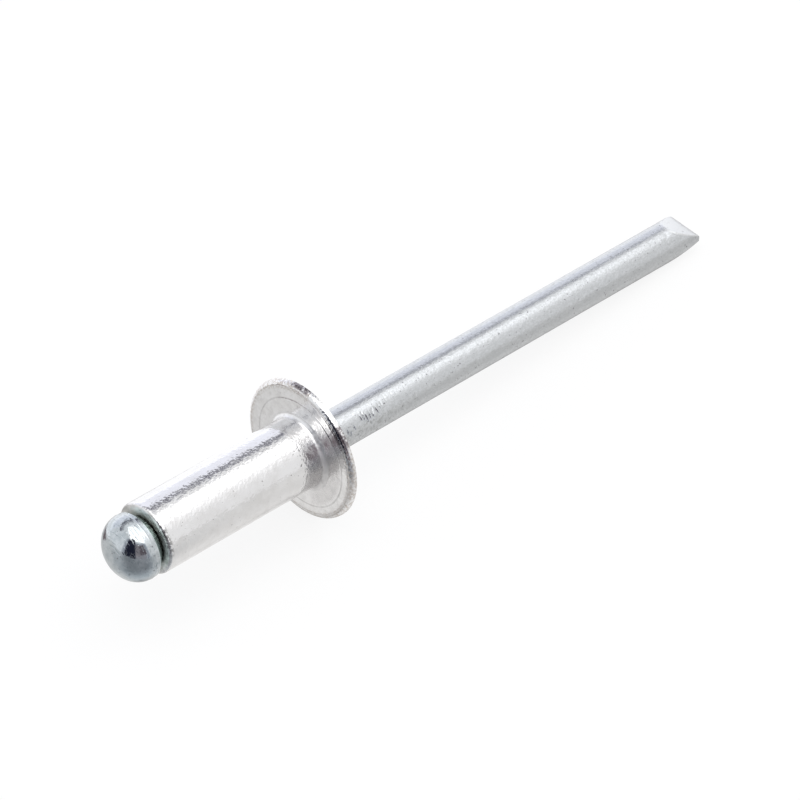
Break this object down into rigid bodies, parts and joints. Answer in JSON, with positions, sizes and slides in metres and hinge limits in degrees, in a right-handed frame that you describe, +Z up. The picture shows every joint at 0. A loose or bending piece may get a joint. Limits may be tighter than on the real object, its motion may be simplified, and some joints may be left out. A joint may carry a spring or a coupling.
{
  "type": "pop rivet",
  "caption": "Open-end blind rivet with a domed flange and a headed break mandrel, unset, for fastening thin sheets that can only be reached from the front.",
  "frame": {"origin": "on the table under the middle of the box that holds the lying rivet", "axes": "+X along the rivet towards the tail of its mandrel, +Z up from the table, +Y level and across the rivet"},
  "size_m": [0.0422, 0.008, 0.008],
  "materials": {
    "rivet_body": "bright satin, with faint drawing lines and handling marks",
    "mandrel": "bright zinc plate, slightly blue, with small nicks and specks"
  },
  "bodies": {
    "root": {"rivet_body": "rivet_body", "mandrel": "mandrel"}
  },
  "joints": []
}
